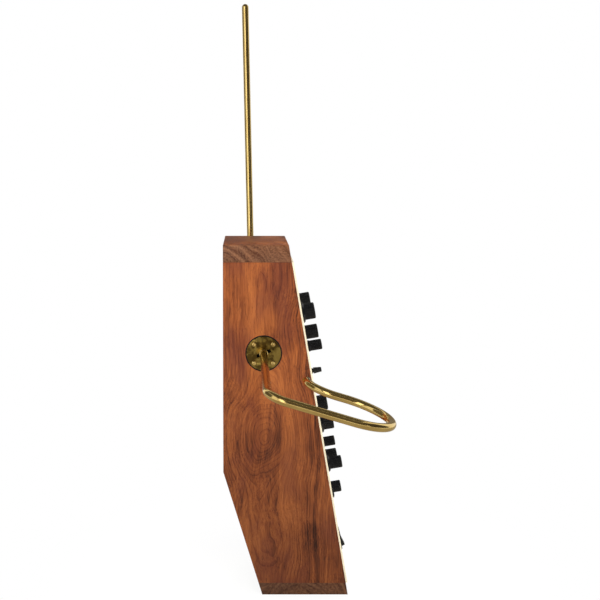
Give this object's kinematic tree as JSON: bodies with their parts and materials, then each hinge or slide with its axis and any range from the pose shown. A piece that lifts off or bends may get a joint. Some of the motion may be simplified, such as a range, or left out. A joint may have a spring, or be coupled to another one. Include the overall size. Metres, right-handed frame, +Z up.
{
  "type": "theremin",
  "caption": "Theremin in a tall walnut cabinet with a sloping control panel, brass volume loop and brass pitch rod",
  "frame": {"origin": "mouth of the stand's threaded hole, in the middle of the base's underside", "axes": "+Z up, -Y towards the player, -X towards the volume loop, +X towards the pitch rod"},
  "size_m": [0.507, 0.2216, 0.8993],
  "materials": {
    "walnut": "oiled",
    "walnut_end_grain": "oiled end grain",
    "batten_wood": "planed",
    "cream_paint": "satin",
    "nickel": "bright",
    "socket_brass": "polished",
    "antenna_brass": "polished",
    "insulator": "satin",
    "lead_insulation": "satin",
    "switch_plastic": "satin",
    "circuit_board": "satin",
    "coil_winding": "lacquered",
    "flange_steel": "brushed",
    "pot_metal": "satin",
    "knob_plastic": "semi gloss"
  },
  "bodies": {
    "cabinet": {"left_side_board": "walnut", "right_side_board": "walnut", "top_board": "walnut_end_grain", "bottom_board": "walnut_end_grain", "back_board": "walnut", "back_battens": "batten_wood", "connector_plate": "cream_paint", "front_panel": "cream_paint", "panel_screws": "nickel", "back_screws": "nickel", "connector_plate_screws": "nickel", "volume_socket_plate": "socket_brass", "pitch_socket_plate": "socket_brass", "volume_plate_screws": "socket_brass", "pitch_plate_screws": "socket_brass", "volume_socket_bush": "insulator", "pitch_socket_bush": "insulator", "antenna_contacts": "socket_brass", "antenna_leads": "lead_insulation", "toggle_switch": "switch_plastic", "rocker_frame": "switch_plastic", "headphone_jack": "switch_plastic", "output_jacks": "switch_plastic", "jack_nuts": "switch_plastic", "power_inlet": "switch_plastic", "power_supply": "circuit_board", "main_board": "circuit_board", "board_standoffs": "nickel", "board_parts": "circuit_board", "volume_coil": "coil_winding", "pitch_coil": "coil_winding", "stand_flange": "flange_steel", "flange_screws": "nickel", "potentiometers": "pot_metal", "potentiometer_nuts": "nickel"},
    "volume_antenna": {"volume_antenna": "antenna_brass"},
    "pitch_antenna": {"pitch_antenna": "antenna_brass"},
    "toggle": {"toggle_lever": "switch_plastic"},
    "rocker": {"rocker_button": "switch_plastic"},
    "volume_tuning": {"volume_tuning_knob": "knob_plastic", "volume_tuning_shaft": "pot_metal"},
    "pitch_tuning": {"pitch_tuning_knob": "knob_plastic", "pitch_tuning_shaft": "pot_metal"},
    "response": {"response_knob": "knob_plastic", "response_shaft": "pot_metal"},
    "register": {"register_knob": "knob_plastic", "register_shaft": "pot_metal"},
    "waveform": {"waveform_knob": "knob_plastic", "waveform_shaft": "pot_metal"},
    "brightness": {"brightness_knob": "knob_plastic", "brightness_shaft": "pot_metal"},
    "filter": {"filter_knob": "knob_plastic", "filter_shaft": "pot_metal"},
    "resonance": {"resonance_knob": "knob_plastic", "resonance_shaft": "pot_metal"},
    "drive": {"drive_knob": "knob_plastic", "drive_shaft": "pot_metal"},
    "level": {"level_knob": "knob_plastic", "level_shaft": "pot_metal"}
  },
  "joints": [
    {"name": "volume_antenna_swivel", "type": "hinge", "parent": "cabinet", "child": "volume_antenna", "pos_m": [-0.076, 0.062, 0.364], "axis": [1, 0, 0], "range_deg": [-90, 0]},
    {"name": "pitch_antenna_swivel", "type": "hinge", "parent": "cabinet", "child": "pitch_antenna", "pos_m": [0.076, 0.077, 0.364], "axis": [1, 0, 0], "range_deg": [0, 90]},
    {"name": "toggle_throw", "type": "hinge", "parent": "cabinet", "child": "toggle", "pos_m": [-0.052, -0.00945, 0.33301], "axis": [0, 0.169, 0.9856], "range_deg": [-12, 12]},
    {"name": "rocker_tilt", "type": "hinge", "parent": "cabinet", "child": "rocker", "pos_m": [-0.052, -0.05079, 0.07708], "axis": [1, 0, 0], "range_deg": [0, 24]},
    {"name": "volume_tuning_turn", "type": "hinge", "parent": "cabinet", "child": "volume_tuning", "pos_m": [-0.052, 0.00605, 0.42042], "axis": [0, -0.9856, 0.169], "range_deg": [-150, 150]},
    {"name": "pitch_tuning_turn", "type": "hinge", "parent": "cabinet", "child": "pitch_tuning", "pos_m": [0.052, 0.00605, 0.42042], "axis": [0, -0.9856, 0.169], "range_deg": [-150, 150]},
    {"name": "response_turn", "type": "hinge", "parent": "cabinet", "child": "response", "pos_m": [-0.052, -0.00261, 0.36992], "axis": [0, -0.9856, 0.169], "range_deg": [-150, 150]},
    {"name": "register_turn", "type": "hinge", "parent": "cabinet", "child": "register", "pos_m": [0.052, -0.00261, 0.36992], "axis": [0, -0.9856, 0.169], "range_deg": [-150, 150]},
    {"name": "waveform_turn", "type": "hinge", "parent": "cabinet", "child": "waveform", "pos_m": [-0.052, -0.02224, 0.25542], "axis": [0, -0.9856, 0.169], "range_deg": [-150, 150]},
    {"name": "brightness_turn", "type": "hinge", "parent": "cabinet", "child": "brightness", "pos_m": [0.052, -0.02224, 0.25542], "axis": [0, -0.9856, 0.169], "range_deg": [-150, 150]},
    {"name": "filter_turn", "type": "hinge", "parent": "cabinet", "child": "filter", "pos_m": [-0.052, -0.03304, 0.19242], "axis": [0, -0.9856, 0.169], "range_deg": [-150, 150]},
    {"name": "resonance_turn", "type": "hinge", "parent": "cabinet", "child": "resonance", "pos_m": [0, -0.0339, 0.18742], "axis": [0, -0.9856, 0.169], "range_deg": [-150, 150]},
    {"name": "drive_turn", "type": "hinge", "parent": "cabinet", "child": "drive", "pos_m": [0.052, -0.03304, 0.19242], "axis": [0, -0.9856, 0.169], "range_deg": [-150, 150]},
    {"name": "level_turn", "type": "hinge", "parent": "cabinet", "child": "level", "pos_m": [0.052, -0.04582, 0.11792], "axis": [0, -0.9856, 0.169], "range_deg": [-150, 150]}
  ]
}
